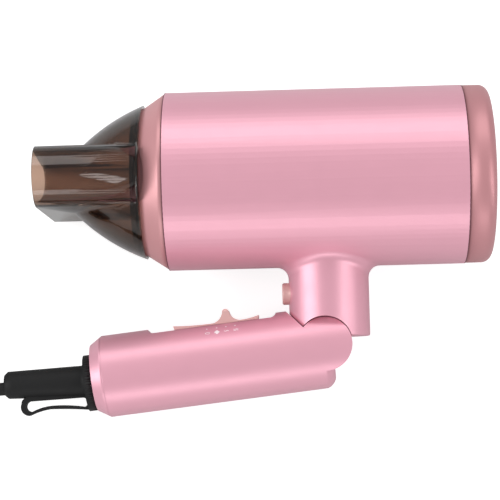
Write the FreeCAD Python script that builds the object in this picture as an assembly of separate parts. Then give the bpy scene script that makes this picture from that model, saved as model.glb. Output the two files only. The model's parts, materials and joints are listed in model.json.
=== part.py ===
"""Folding hair dryer, built as separate pieces in millimetres.

Three frames are used:
  dryer frame   X along the barrel (air leaves towards -X), -Y towards the handle, origin on
                the barrel's axis above the middle of the neck
  handle frame  X from the cord end to the hinge end, origin on the fold hinge's axis
  row frame     +Z up, the dryer lying on its side on Z = 0, origin under the middle of it
Every piece is made in the first or second frame, then laid down into the row frame.
"""
import FreeCAD
import Part
import math
import os
from FreeCAD import Vector

# ---- driving dimensions: barrel -------------------------------------------------------
BARREL_R = 42.0            # outer radius of the barrel
BARREL_WALL = 2.2
BARREL_FRONT_X = -74.6     # joint with the front ring
BARREL_REAR_X = 63.8       # joint with the rear ring
HANDLE_R = 19.15           # outer radius of the handle
NECK_R = HANDLE_R - 0.35   # outer radius of the neck under the barrel
NECK_WALL = 2.2
NECK_LEN = 32.9            # from the barrel's underside to the neck's flat end
NECK_END_Y = -(BARREL_R + NECK_LEN)
NECK_FILLET = 5.5
FIT = 0.2                  # clearance between pieces that plug into each other
RUN = 0.05                 # radial clearance of a pin or shaft that turns
GAP = 0.4                  # clearance between pieces that move past each other

# ---- driving dimensions: rings and nozzle ---------------------------------------------
RING_STEP = 0.25           # the rings are this much smaller than the barrel
FRONT_RING_LEN = 11.6
FRONT_RING_TIP_R = BARREL_R - 8.0
OUTLET_R = BARREL_R - 10.5 # bore of the front ring that takes the nozzle
REAR_RING_LEN = 12.5
REAR_CORNER_R = 4.5
INLET_R = BARREL_R - 6.6   # bore of the rear ring's rim
SCOOP_R = 26.0             # thumb scoops in the front ring's edge
SCOOP_DEPTH = 3.0
SCOOP_FLOOR = BARREL_R - 9.4
NOZZLE_WALL = 1.4
NOZZLE_BASE_R = BARREL_R - 5.6
NOZZLE_BASE_X = -85.3
NOZZLE_MID = (-104.0, NOZZLE_BASE_R - 9.8)
NOZZLE_TIP = (-120.3, NOZZLE_BASE_R - 23.8)
SLOT_X = -133.0            # mouth of the air slot
SLOT_END_R = 14.15         # rounded ends of the slot, and half its height
SLOT_HALF_FLAT = BARREL_R + 0.75 - SLOT_END_R   # half of the slot's straight stretch
NOZZLE_TURN = 1.2          # degrees that the nozzle stands turned on the barrel
COLLAR_WALL = 1.6
COLLAR_LEN = 6.4

# ---- driving dimensions: air path -----------------------------------------------------
DUCT_R = BARREL_R - 5.6    # bore of the fan duct
DUCT_WALL = 2.0
DUCT_X = (14.0, 60.0)
FAN_X = (40.0, 54.0)
FAN_TIP_GAP = 0.6
FAN_HUB_R = 13.0
FAN_BLADES = 9
STATOR_VANES = 7
MOTOR_R = 14.0
MOTOR_X = (8.0, 34.0)
SHAFT_R = 1.5
LINER_R = BARREL_R - 5.0   # outer radius of the mica tube round the heater
LINER_WALL = 0.6
BOARD_T = 0.8
COIL_RING_R = BARREL_R - 15.1
COIL_WIRE_R = 1.1
COIL_TURNS = 8

# ---- driving dimensions: fold hinge and handle ----------------------------------------
HINGE = Vector(-2.7, NECK_END_Y - 3.5, 0)
KNUCKLE_R = 12.5
REST_FOLD = 6.2            # degrees between the folded handle and the barrel
BEVEL_AT = 140.0           # degrees round the hinge where the bevels start
BEVEL_DIR = 135.0          # degrees, the direction that the bevels run in
PIN_R = 3.5
LUG_R = 9.5
LUG_HALF_T = 7.5
CHEEK_IN = 8.0
CHEEK_T = 3.5
HANDLE_WALL = 2.0
HANDLE_AXIS_Y = -1.45      # handle tube's axis, below the hinge's axis
HANDLE_FRONT_X = 3.2       # end face past the hinge
HANDLE_CORD_X = -103.4     # joint with the end cap
HANDLE_CORNER = 4.3        # rounded corner of the end face past the hinge
CAP_LEN = 5.7
CAP_TIP_R = HANDLE_R - 3.6

# ---- driving dimensions: controls -----------------------------------------------------
BUTTON_Y = -(BARREL_R + 12.4)
BUTTON_R = 5.1
BUTTON_OUT = 3.1
BUTTON_TRAVEL = 2.2
BUTTON_FLANGE_R = BUTTON_R + 1.3
BUTTON_SEAT_X = -math.sqrt((NECK_R - NECK_WALL) ** 2 - BUTTON_FLANGE_R ** 2) + 0.6
CLAMP_R = HANDLE_R - 4.75
SWITCH_X = -44.0           # thumb ridge, at the third of four marks
SWITCH_STEP = 4.4          # distance between the marks
SWITCH_PLATE_X = (-69.0, -28.8)
SWITCH_PLATE_HALF_W = 6.5
SWITCH_FLOOR_Y = HANDLE_AXIS_Y + HANDLE_R - 2.2
SWITCH_TOP_Y = SWITCH_FLOOR_Y + 0.9   # lowest part of the plate's top, beside the ridge
SWITCH_END_Y = SWITCH_FLOOR_Y + 2.0   # the plate's raised ends
RIDGE_TOP_Y = SWITCH_FLOOR_Y + 6.9
RIDGE_HALF_BASE = 6.3
RIDGE_HALF_TOP = 1.5

# ---- driving dimensions: cord ---------------------------------------------------------
CORD_R = 3.1
RELIEF_LEN = 42.4
RELIEF_R = (7.5, 6.4)
RELIEF_BEND = 4.4          # degrees that the strain relief leans towards the barrel
RELIEF_Y = -2.7            # its middle where it leaves the cap
FLANGE_R = CAP_TIP_R - 2.4
FLANGE_Y = -3.5
FLANGE_T = 4.0
CORD_DROP = 1.6            # the cord leaves the relief this far below its middle
STRAP_HALF_W = 3.0
COIL_CENTRE = Vector(-190.0, -29.0, 0)
COIL_MEAN_R = 35.0
COIL_SECTION = (19.0, 17.0)
COIL_LIFT = 1.0
PLUG_AT = Vector(-231.0, 20.0, 6.9)
PLUG_PIN_R = 2.4
PLUG_PIN_PITCH = 19.0
PLUG_PIN_LEN = 19.0
PLUG_LEN = 34.0
PLUG_ENTRY_LEN = 8.0       # the tapered cord entry past the body

X_AXIS, Y_AXIS, Z_AXIS = Vector(1, 0, 0), Vector(0, 1, 0), Vector(0, 0, 1)
ORIGIN = Vector(0, 0, 0)
BIG = 60.0                 # reach of the cutting blocks


# ---- shape helpers --------------------------------------------------------------------
def block(x, y, z):
    """A box from three (low, high) pairs."""
    return Part.makeBox(x[1] - x[0], y[1] - y[0], z[1] - z[0], Vector(x[0], y[0], z[0]))


def rod(radius, start, end):
    """A round bar between two points."""
    run = end - start
    return Part.makeCylinder(radius, run.Length, start, run)


def ring_x(r_out, r_in, x0, x1, y=0.0):
    """A hollow cylinder along X."""
    outer = rod(r_out, Vector(x0, y, 0), Vector(x1, y, 0))
    return outer.cut(rod(r_in, Vector(x0 - 1, y, 0), Vector(x1 + 1, y, 0)))


def join(shapes):
    """Fuse the shapes and drop the seams between flush faces."""
    whole = shapes[0]
    if len(shapes) > 1:
        whole = whole.fuse(list(shapes[1:]))
    return whole.removeSplitter()


def group(shapes):
    """Separate solids kept together as one node."""
    return Part.makeCompound(list(shapes))


def outline(points):
    """A closed face from corners (x, y); a triple (middle, end) pair makes an arc."""
    edges = []
    here = Vector(points[0][0], points[0][1], 0)
    for step in list(points[1:]) + [points[0]]:
        if isinstance(step[0], tuple):
            middle, end = (Vector(p[0], p[1], 0) for p in step)
            edges.append(Part.Arc(here, middle, end).toShape())
        else:
            end = Vector(step[0], step[1], 0)
            if (end - here).Length > 1e-6:
                edges.append(Part.makeLine(here, end))
        here = end
    return Part.Face(Part.Wire(edges))


def lathe_x(points):
    """A profile of (x, radius) points turned about the X axis."""
    return outline(points).revolve(ORIGIN, X_AXIS, 360)


def slab_z(points, z0, z1):
    """An outline in XY made thick from z0 to z1."""
    face = outline(points)
    face.translate(Vector(0, 0, z0))
    return face.extrude(Vector(0, 0, z1 - z0))


def polar(radius, degrees, centre=ORIGIN):
    """The point at a radius and an angle round a centre, in XY."""
    angle = math.radians(degrees)
    return centre + Vector(radius * math.cos(angle), radius * math.sin(angle), 0)


# ---- barrel: shell, rings, grilles ----------------------------------------------------
def neck_cutter(centre, radius):
    """What the neck's lower end is cut by: the knuckle's round and the bevel beside it."""
    notch = polar(radius, BEVEL_AT, centre)
    far = notch + polar(14, BEVEL_DIR)
    corners = [centre, notch, far, far + Vector(0, -BIG, 0), centre + Vector(0, -BIG, 0)]
    wedge = slab_z([(p.x, p.y) for p in corners], -BIG, BIG)
    return wedge.fuse(rod(radius, centre + Vector(0, 0, -BIG), centre + Vector(0, 0, BIG)))


def make_barrel_shell():
    """One moulding: the tube with the neck blended into its underside."""
    barrel = rod(BARREL_R, Vector(BARREL_FRONT_X, 0, 0), Vector(BARREL_REAR_X, 0, 0))
    neck = rod(NECK_R, Vector(0, -10, 0), Vector(0, NECK_END_Y, 0))
    outer = barrel.fuse(neck)
    seam = [e for e in outer.Edges if -BARREL_R - 1 < e.BoundBox.YMin and e.BoundBox.YMax < -30
            and e.BoundBox.ZLength > NECK_R]
    outer = outer.makeFillet(NECK_FILLET, seam)
    bore_r = BARREL_R - BARREL_WALL
    bore = rod(bore_r, Vector(BARREL_FRONT_X - 1, 0, 0), Vector(BARREL_REAR_X + 1, 0, 0))
    well = rod(NECK_R - NECK_WALL, Vector(0, -30, 0), Vector(0, NECK_END_Y - 1, 0))
    button_hole = rod(BUTTON_R + FIT, Vector(-NECK_R - 2, BUTTON_Y, 0), Vector(-8, BUTTON_Y, 0))
    shell = outer.cut([bore, well, neck_cutter(HINGE, KNUCKLE_R + GAP), button_hole])
    rim = [e for e in shell.Edges if abs(e.BoundBox.YMax - NECK_END_Y) < 0.01
           and abs(e.BoundBox.YMin - NECK_END_Y) < 0.01 and e.BoundBox.XMax > NECK_R - 0.1]
    return shell.makeFillet(0.9, rim)


def make_front_ring():
    """Tapered ring that closes the barrel's front and takes the nozzle's collar."""
    tip_x = BARREL_FRONT_X - FRONT_RING_LEN
    plug_r = BARREL_R - BARREL_WALL - FIT
    seat_x = tip_x + 7.7
    body = lathe_x([
        (BARREL_FRONT_X, BARREL_R - RING_STEP), (tip_x + 0.6, FRONT_RING_TIP_R + 0.4),
        (tip_x, FRONT_RING_TIP_R), (tip_x, OUTLET_R), (seat_x, OUTLET_R), (seat_x, OUTLET_R + 4.5),
        (BARREL_FRONT_X, plug_r - 2.2), (BARREL_FRONT_X + 6.6, plug_r - 2.2),
        (BARREL_FRONT_X + 6.6, plug_r), (BARREL_FRONT_X, plug_r)])
    scoop_x = tip_x + SCOOP_DEPTH - SCOOP_R
    scoops = [rod(SCOOP_R, Vector(scoop_x, 0, side * SCOOP_FLOOR), Vector(scoop_x, 0, side * BIG))
              for side in (-1, 1)]
    return body.cut(scoops)


def spoked_disc(x0, x1, rim, rings, spokes, width, r_hub):
    """A flat grille: a rim, concentric rings and radial spokes."""
    pieces = [ring_x(rim[1], rim[0], x0, x1)]
    pieces += [ring_x(r + width / 2, r - width / 2, x0, x1) for r in rings]
    for n in range(spokes):
        bar = block((x0, x1), (r_hub, (rim[0] + rim[1]) / 2), (-width / 2, width / 2))
        bar.rotate(ORIGIN, X_AXIS, 360.0 * n / spokes)
        pieces.append(bar)
    return join(pieces)


def make_outlet_grille():
    """Guard in front of the heater, seated behind the front ring's bore."""
    seat_x = BARREL_FRONT_X - FRONT_RING_LEN + 7.7
    return spoked_disc(seat_x, seat_x + 2.4, (OUTLET_R - 1.0, OUTLET_R + 4.3),
                        (22.0, 14.0, 6.0), 8, 1.6, 5.5)


def make_rear_ring():
    """Round-cornered ring that closes the barrel's rear round the air inlet."""
    rim_x = BARREL_REAR_X + REAR_RING_LEN
    ring_r = BARREL_R - RING_STEP
    plug_r = BARREL_R - BARREL_WALL - FIT
    corner = math.sqrt(0.5) * REAR_CORNER_R
    corner_mid = (rim_x - REAR_CORNER_R + corner, ring_r - REAR_CORNER_R + corner)
    return lathe_x([
        (BARREL_REAR_X, ring_r), (rim_x - REAR_CORNER_R, ring_r),
        (corner_mid, (rim_x, ring_r - REAR_CORNER_R)), (rim_x, INLET_R), (rim_x - 3.1, INLET_R),
        (rim_x - 3.1, INLET_R - 2.0), (rim_x - 5.1, INLET_R - 2.0), (rim_x - 5.1, plug_r - 2.2),
        (BARREL_REAR_X - 3.6, plug_r - 2.2), (BARREL_REAR_X - 3.6, plug_r), (BARREL_REAR_X, plug_r)])


def make_inlet_grille():
    """Slightly domed guard over the air inlet, drilled in rings of holes."""
    rim_x = BARREL_REAR_X + REAR_RING_LEN
    edge_r = INLET_R - FIT
    rise, skin = 2.6, 1.3
    sphere_r = (edge_r ** 2 + rise ** 2) / (2 * rise)
    centre = Vector(rim_x + 1.3 - sphere_r, 0, 0)
    dome = Part.makeSphere(sphere_r, centre).cut(Part.makeSphere(sphere_r - skin, centre))
    dome = dome.common(rod(edge_r, Vector(rim_x - 3.1, 0, 0), Vector(rim_x + 3, 0, 0)))
    rim = ring_x(edge_r, edge_r - 2.2, rim_x - 3.1, rim_x - 1.4)
    holes = [rod(1.7, Vector(rim_x - 5, 0, 0), Vector(rim_x + 5, 0, 0))]
    for ring in range(1, 6):
        for n in range(6 * ring):
            angle = 2 * math.pi * n / (6 * ring)
            y, z = 5.9 * ring * math.cos(angle), 5.9 * ring * math.sin(angle)
            holes.append(rod(1.7, Vector(rim_x - 5, y, z), Vector(rim_x + 5, y, z)))
    return join([dome, rim]).cut(holes)


def make_inlet_filter():
    """Lint screen: a thin frame with a square lattice, behind the inlet guard."""
    x1 = BARREL_REAR_X + REAR_RING_LEN - 5.1 - FIT
    x0 = x1 - 1.0
    frame_r = BARREL_R - BARREL_WALL - FIT - 2.2 - FIT
    inside = rod(frame_r - 1, Vector(x0, 0, 0), Vector(x1, 0, 0))
    bars = []
    for n in range(-4, 5):
        bars.append(block((x0, x1), (8.0 * n - 0.4, 8.0 * n + 0.4), (-BIG, BIG)))
        bars.append(block((x0, x1), (-BIG, BIG), (8.0 * n - 0.4, 8.0 * n + 0.4)))
    return join([ring_x(frame_r, frame_r - 3.6, x0, x1), join(bars).common(inside)])


# ---- nozzle ---------------------------------------------------------------------------
def slot_prism(r_end, half_flat, x0, x1):
    """A bar along X with a racetrack section, long across Z."""
    core = block((x0, x1), (-r_end, r_end), (-half_flat, half_flat))
    ends = [rod(r_end, Vector(x0, 0, s * half_flat), Vector(x1, 0, s * half_flat)) for s in (-1, 1)]
    return join([core] + ends)


def dome(inset, base_x):
    """The nozzle's round body, drawn in by an inset from its outside."""
    base = (base_x, NOZZLE_BASE_R - inset)
    middle = (NOZZLE_MID[0] + 0.45 * inset, NOZZLE_MID[1] - 0.89 * inset)
    tip = (NOZZLE_TIP[0] + 0.7 * inset, NOZZLE_TIP[1] - 0.75 * inset)
    return lathe_x([(base_x, 0), base, (middle, tip), (tip[0], 0)])


def make_nozzle():
    """Smoked concentrator: a round dome run into a flat slot as wide as its base."""
    slot_back = BARREL_FRONT_X - FRONT_RING_LEN - 0.5
    outer = join([dome(0, NOZZLE_BASE_X), slot_prism(SLOT_END_R, SLOT_HALF_FLAT, SLOT_X, slot_back)])
    hollow = slot_prism(SLOT_END_R - NOZZLE_WALL, SLOT_HALF_FLAT, SLOT_X - 1, slot_back - NOZZLE_WALL)
    mouth = ring_x(NOZZLE_BASE_R - NOZZLE_WALL, 0.01, slot_back - 0.1, NOZZLE_BASE_X + 1)
    base_bore = rod(NOZZLE_BASE_R - NOZZLE_WALL, Vector(NOZZLE_BASE_X - 4, 0, 0),
                    Vector(NOZZLE_BASE_X + 1, 0, 0))
    base_bore = base_bore.common(join([dome(NOZZLE_WALL, NOZZLE_BASE_X), mouth]))
    return outer.cut([dome(NOZZLE_WALL, NOZZLE_BASE_X), hollow, base_bore])


def turned(shape):
    """The nozzle as it stands: turned a little on the barrel's axis."""
    shape.rotate(ORIGIN, X_AXIS, -NOZZLE_TURN)
    return shape


def make_nozzle_collar():
    """Dark collar inside the nozzle's base that pushes into the front ring."""
    face_x = BARREL_FRONT_X - FRONT_RING_LEN - 0.3
    r_out = OUTLET_R - FIT - 0.1
    inside = NOZZLE_BASE_R - NOZZLE_WALL
    return lathe_x([
        (face_x - 3.5, r_out - COLLAR_WALL), (face_x - 3.5, inside - 3.0), (face_x, inside - 1.0),
        (face_x, r_out), (face_x + COLLAR_LEN, r_out), (face_x + COLLAR_LEN, r_out - COLLAR_WALL)])


def make_retainer_ring():
    """Split spring ring in the outlet's bore that grips the nozzle's collar."""
    x0 = BARREL_FRONT_X - FRONT_RING_LEN - 0.3 + COLLAR_LEN + 0.2
    ring = ring_x(OUTLET_R - FIT, OUTLET_R - FIT - 1.6, x0, x0 + 0.8)
    return ring.cut(block((x0 - 1, x0 + 2), (25, 35), (-2, 2)))


# ---- air path -------------------------------------------------------------------------
def make_fan_duct():
    """Duct with guide vanes that hold the motor's cup on the barrel's axis."""
    tube = ring_x(DUCT_R + DUCT_WALL, DUCT_R, DUCT_X[0], DUCT_X[1])
    flange = ring_x(BARREL_R - BARREL_WALL - FIT, DUCT_R, DUCT_X[1] - 4.0, DUCT_X[1])
    cup_r = MOTOR_R + FIT
    cup = ring_x(cup_r + 1.6, cup_r, MOTOR_X[0] + 2, MOTOR_X[1] + 1.8)
    back = ring_x(cup_r + 1.6, 4.0, MOTOR_X[1] + FIT, MOTOR_X[1] + 1.8)
    vanes = []
    for n in range(STATOR_VANES):
        vane = block((16.0, MOTOR_X[1]), (cup_r + 0.8, DUCT_R + 0.5), (-0.8, 0.8))
        vane.rotate(ORIGIN, X_AXIS, 360.0 * n / STATOR_VANES)
        vanes.append(vane)
    return join([tube, flange, cup, back] + vanes)


def make_fan():
    """Axial fan: a capped hub with raked blades."""
    x0, x1 = FAN_X
    tip_r = DUCT_R - FAN_TIP_GAP
    hub = lathe_x([(x0, SHAFT_R + 2.2), (x0, FAN_HUB_R), (x1 - 3, FAN_HUB_R), (x1, FAN_HUB_R - 4),
                   (x1, SHAFT_R), (x0 + 4, SHAFT_R), (x0 + 4, SHAFT_R + 2.2)])
    reach = ring_x(tip_r, FAN_HUB_R - 4.2, x0, x1 - 0.5)
    blades = []
    for n in range(FAN_BLADES):
        blade = block((-11, 11), (FAN_HUB_R - 2.5, tip_r + 3), (-0.6, 0.6))
        blade.rotate(ORIGIN, Y_AXIS, 38)
        blade.translate(Vector((x0 + x1) / 2, 0, 0))
        blade.rotate(ORIGIN, X_AXIS, 360.0 * n / FAN_BLADES)
        blades.append(blade.common(reach))
    return join([hub] + blades)


def make_motor_can():
    """Steel can, closed at the fan end round its bush."""
    x0, x1 = MOTOR_X
    wall = 0.9
    return join([ring_x(MOTOR_R, MOTOR_R - wall, x0, x1), ring_x(MOTOR_R, 3.0, x1 - wall, x1)])


def make_motor_magnets():
    """Two curved magnets inside the can."""
    shell = ring_x(MOTOR_R - 1.0, 11.9, MOTOR_X[0] + 4, MOTOR_X[1] - 4)
    return group([shell.common(block((0, BIG), (-BIG, BIG), side)) for side in ((4, BIG), (-BIG, -4))])


def make_motor_rotor():
    """Slotted rotor stack on the shaft."""
    x0, x1 = MOTOR_X[0] + 5, MOTOR_X[1] - 5
    stack = ring_x(11.4, SHAFT_R, x0, x1)
    slots = []
    for n in range(3):
        slot = block((x0 - 1, x1 + 1), (6.0, 12.0), (-1.2, 1.2))
        slot.rotate(ORIGIN, X_AXIS, 120.0 * n)
        slots.append(slot)
    return stack.cut(slots)


def make_motor_shaft():
    """Shaft from the rear of the motor to the fan's hub."""
    return rod(SHAFT_R, Vector(MOTOR_X[0] - 3, 0, 0), Vector(FAN_X[1], 0, 0))


def make_motor_bushes():
    """Two sintered bushes that the shaft turns in."""
    front = ring_x(3.0, SHAFT_R + RUN, MOTOR_X[0] - 2.6, MOTOR_X[0])
    rear = ring_x(3.0, SHAFT_R + RUN, MOTOR_X[1] - 3.0, MOTOR_X[1])
    return group([front, rear])


def make_motor_end_cap():
    """Plastic cap on the motor's brush end."""
    return ring_x(MOTOR_R, 3.0, MOTOR_X[0] - 2.6, MOTOR_X[0])


def make_motor_board():
    """Round circuit board on the motor's tail, with four rectifier diodes."""
    x1 = MOTOR_X[0] - 3.4
    board = ring_x(12.5, 3.5, x1 - 1.2, x1)
    posts = [rod(1.2, Vector(x1, y, 0), Vector(MOTOR_X[0] - 2.6, y, 0)) for y in (-9, 9)]
    return join([board] + posts)


def make_board_diodes():
    """Four rectifier diodes on the motor's board."""
    x1 = MOTOR_X[0] - 3.4 - 1.2
    return group([rod(1.3, Vector(x1 - 1.3, y, -3.0), Vector(x1 - 1.3, y, 3.0)) for y in (-9, -5.6, 5.6, 9)])


def make_heater_liner():
    """Mica tube between the heater and the barrel."""
    return ring_x(LINER_R, LINER_R - LINER_WALL, BARREL_FRONT_X + 2.0, DUCT_X[0] - 0.3)


def heater_board(upright):
    """One mica board with tabs at both ends that reach the liner."""
    half, tab = COIL_RING_R - COIL_WIRE_R - 0.4, LINER_R - LINER_WALL - 0.3
    x0, x1, tab_len = BARREL_FRONT_X + 8.6, -2.0, 6.0
    spans = [((x0, x1), half), ((x0, x0 + tab_len), tab), ((x1 - tab_len, x1), tab)]
    thick = (-BOARD_T / 2, BOARD_T / 2)
    if upright:
        return join([block(x, (-h, h), thick) for x, h in spans])
    return join([block(x, thick, (-h, h)) for x, h in spans])


def make_heater_boards():
    """Two mica boards slotted together in a cross."""
    return join([heater_board(True), heater_board(False)])


def make_heater_coils():
    """Resistance wire, as even turns round the mica cross."""
    x0, x1 = BARREL_FRONT_X + 18.0, -11.5
    turns = []
    for n in range(COIL_TURNS):
        x = x0 + (x1 - x0) * n / (COIL_TURNS - 1)
        turns.append(Part.makeTorus(COIL_RING_R, COIL_WIRE_R, Vector(x, 0, 0), X_AXIS))
    return group(turns)


def make_thermostat():
    """Bimetal cut-out on the upright mica board."""
    return block((-30.0, -18.0), (8.0, 15.0), (BOARD_T / 2, BOARD_T / 2 + 5.0))


def make_thermal_fuse():
    """One-shot thermal fuse on the other side of the cross."""
    z = BOARD_T / 2 + 1.8
    return rod(1.8, Vector(-46.0, -11.0, z), Vector(-35.0, -11.0, z))


# ---- neck and fold hinge --------------------------------------------------------------
def make_hinge_lug():
    """Core of the hinge: plugs the neck's end, and its tongue carries the pin."""
    top_y = NECK_END_Y + 12.9
    plug = rod(NECK_R - NECK_WALL - FIT, Vector(0, top_y, 0), Vector(0, NECK_END_Y, 0))
    plug = plug.cut(neck_cutter(HINGE, KNUCKLE_R + GAP))
    web = block((HINGE.x - 6.5, HINGE.x + 6.5), (HINGE.y, top_y - 2), (-LUG_HALF_T, LUG_HALF_T))
    eye = rod(LUG_R, HINGE + Vector(0, 0, -LUG_HALF_T), HINGE + Vector(0, 0, LUG_HALF_T))
    spring_wall = block((-4.6, -2.6), (top_y - 0.5, BUTTON_Y + 8.4), (-8.0, 8.0))
    bore = rod(PIN_R + RUN, HINGE + Vector(0, 0, -BIG), HINGE + Vector(0, 0, BIG))
    return join([plug, web, eye, spring_wall]).cut(bore)


def make_hinge_washers():
    """Two thin washers on the tongue's sides."""
    washers = []
    for side in (-1, 1):
        start = HINGE + Vector(0, 0, side * (LUG_HALF_T + 0.1))
        end = HINGE + Vector(0, 0, side * (CHEEK_IN - 0.1))
        washers.append(rod(8.0, start, end).cut(rod(PIN_R + 0.3, start - (end - start), end * 2 - start)))
    return group(washers)


def make_release_button():
    """Round fold-release button with a flange inside the neck and a spring spigot."""
    face_x = -NECK_R - BUTTON_OUT
    axis_point = Vector(0, BUTTON_Y, 0)
    back_x = BUTTON_SEAT_X + 1.5
    cap = rod(BUTTON_R, Vector(face_x, BUTTON_Y, 0), Vector(back_x, BUTTON_Y, 0))
    rim = [e for e in cap.Edges if abs(e.BoundBox.XMax - face_x) < 0.01]
    cap = cap.makeFillet(0.8, rim)
    flange = rod(BUTTON_FLANGE_R, axis_point + Vector(BUTTON_SEAT_X, 0, 0),
                 axis_point + Vector(back_x, 0, 0))
    spigot = rod(1.8, axis_point + Vector(back_x, 0, 0), axis_point + Vector(back_x + 2.5, 0, 0))
    return join([cap, flange, spigot])


def make_button_spring():
    """Wire spring between the button and the wall on the hinge's core."""
    x0, x1 = BUTTON_SEAT_X + 2.1, -5.1
    wire_r, coil_r, turns = 0.35, 2.6, 5
    helix = Part.makeHelix((x1 - x0) / turns, x1 - x0, coil_r)
    section = Part.Wire(Part.makeCircle(wire_r, Vector(coil_r, 0, 0), Y_AXIS))
    spring = Part.Wire(helix.Edges).makePipeShell([section], True, True)
    spring.rotate(ORIGIN, Y_AXIS, 90)
    spring.translate(Vector(x0, BUTTON_Y, 0))
    return spring


def make_neck_wires():
    """Supply wires up the neck, from the hinge's core to the heater's liner."""
    low, high = NECK_END_Y + 12.9, -LINER_R - 0.9
    return group([rod(1.2, Vector(x, low, 4.0), Vector(x, high, 4.0)) for x in (2.0, 6.0, 10.0)])


# ---- handle (handle frame) ------------------------------------------------------------
def handle_rod(radius, x0, x1):
    """A round bar on the handle tube's axis."""
    return rod(radius, Vector(x0, HANDLE_AXIS_Y, 0), Vector(x1, HANDLE_AXIS_Y, 0))


def hinge_disc(radius, z0, z1):
    """A disc round the fold hinge."""
    return rod(radius, Vector(0, 0, z0), Vector(0, 0, z1))


def side_profile(inset):
    """The handle's side outline as a thick slab, drawn in by an inset, without the knuckle."""
    away = polar(1, BEVEL_DIR + 90 - REST_FOLD)
    notch = polar(KNUCKLE_R, BEVEL_AT - REST_FOLD) + away * (GAP + inset)
    inner = notch - polar(KNUCKLE_R, BEVEL_DIR - REST_FOLD)
    outer = notch + polar(BIG, BEVEL_DIR - REST_FOLD)
    x1 = HANDLE_FRONT_X - inset
    corners = [(HANDLE_CORD_X, -BIG), (x1, -BIG), (x1, min(inner.y, 0)), (inner.x, inner.y),
               (outer.x, outer.y), (HANDLE_CORD_X, outer.y)]
    return slab_z(corners, -BIG, BIG)


def handle_tube():
    """The handle's whole shell in one piece, before it is split into halves."""
    corner = HANDLE_CORNER
    corner_mid = (HANDLE_FRONT_X - 0.37 * corner, HANDLE_R - 0.37 * corner)
    tube = lathe_x([
        (HANDLE_CORD_X, 0), (HANDLE_CORD_X, HANDLE_R), (HANDLE_FRONT_X - corner, HANDLE_R),
        (corner_mid, (HANDLE_FRONT_X, HANDLE_R - corner)), (HANDLE_FRONT_X, 0)])
    tube.translate(Vector(0, HANDLE_AXIS_Y, 0))
    tube = tube.common(side_profile(0))
    knuckle = handle_rod(HANDLE_R, -KNUCKLE_R, KNUCKLE_R).common(hinge_disc(KNUCKLE_R, -BIG, BIG))
    room = side_profile(HANDLE_WALL).fuse(hinge_disc(KNUCKLE_R - HANDLE_WALL, -BIG, BIG))
    hollow = handle_rod(HANDLE_R - HANDLE_WALL, HANDLE_CORD_X - 1, KNUCKLE_R).common(room)
    cheeks = [hinge_disc(KNUCKLE_R, z0, z0 + CHEEK_T) for z0 in (CHEEK_IN, -CHEEK_IN - CHEEK_T)]
    slot = hinge_disc(KNUCKLE_R + GAP, -CHEEK_IN, CHEEK_IN)
    pin_bore = hinge_disc(PIN_R + RUN, -CHEEK_IN - CHEEK_T - 1, CHEEK_IN + CHEEK_T + 1)
    shell = join([tube, knuckle]).cut(hollow.cut(cheeks))
    return shell.cut([slot, pin_bore])


def switch_recess():
    """The hollow along the handle's top that the slide switch runs in."""
    x0 = SWITCH_PLATE_X[0] - 2 * SWITCH_STEP - 0.6
    x1 = SWITCH_PLATE_X[1] + SWITCH_STEP + 0.6
    low, top = SWITCH_FLOOR_Y, SWITCH_FLOOR_Y + 6
    return slab_z([(x0, low), (x1, low), ((x1 + 2.2, low + 0.8), (x1 + 3.2, low + 2.6)),
                   (x1 + 3.2, top), (x0 - 3.2, top), (x0 - 3.2, low + 2.6),
                   ((x0 - 2.2, low + 0.8), (x0, low))], -15, 15)


def screw_places():
    """Where the two handle screws stand, as (x, y) on the handle."""
    return [(-88.0, HANDLE_AXIS_Y), (-17.5, -11.0)]


def handle_shell_blank():
    """Shell with the recess, its thickened floor, the stem's slot and the screw posts."""
    shell = handle_tube()
    span = (SWITCH_PLATE_X[0] - 2 * SWITCH_STEP - 2, SWITCH_PLATE_X[1] + SWITCH_STEP + 3.5)
    inside = handle_rod(HANDLE_R - 0.5, span[0], span[1])
    pad = block(span, (SWITCH_FLOOR_Y - 2.1, SWITCH_FLOOR_Y), (-10, 10)).common(inside)
    posts = []
    for x, y in screw_places():
        reach = handle_rod(HANDLE_R - 0.5, x - 5, x + 5)
        posts.append(rod(3.4, Vector(x, y, -BIG), Vector(x, y, BIG)).common(reach))
    stem_slot = block((SWITCH_X - 2.5 - 2 * SWITCH_STEP - GAP, SWITCH_X + 2.5 + SWITCH_STEP + GAP),
                      (SWITCH_FLOOR_Y - 4, SWITCH_FLOOR_Y + 1), (-2.3, 2.3))
    return join([shell, pad] + posts).cut([switch_recess(), stem_slot])


def make_handle_halves():
    """The two clamshell halves, and the screws that hold them together."""
    blank = handle_shell_blank()
    span = (HANDLE_CORD_X - 1, KNUCKLE_R + 1)
    near = blank.common(block(span, (-BIG, BIG), (0, BIG)))
    far = blank.common(block(span, (-BIG, BIG), (-BIG, 0)))
    screws = []
    for x, y in screw_places():
        far = far.cut([rod(1.6, Vector(x, y, -BIG), Vector(x, y, 1)),
                       rod(3.0, Vector(x, y, -BIG), Vector(x, y, -9.0))])
        near = near.cut(rod(1.3, Vector(x, y, -1), Vector(x, y, 9.0)))
        shank = rod(1.3, Vector(x, y, -9.0), Vector(x, y, 8.5))
        head = rod(2.7, Vector(x, y, -11.2), Vector(x, y, -9.0))
        cross = [block((x - 1.6, x + 1.6), (y - 0.35, y + 0.35), (-11.5, -10.2)),
                 block((x - 0.35, x + 0.35), (y - 1.6, y + 1.6), (-11.5, -10.2))]
        screws.append(join([shank, head]).cut(cross))
    return near, far, group(screws)


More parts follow.
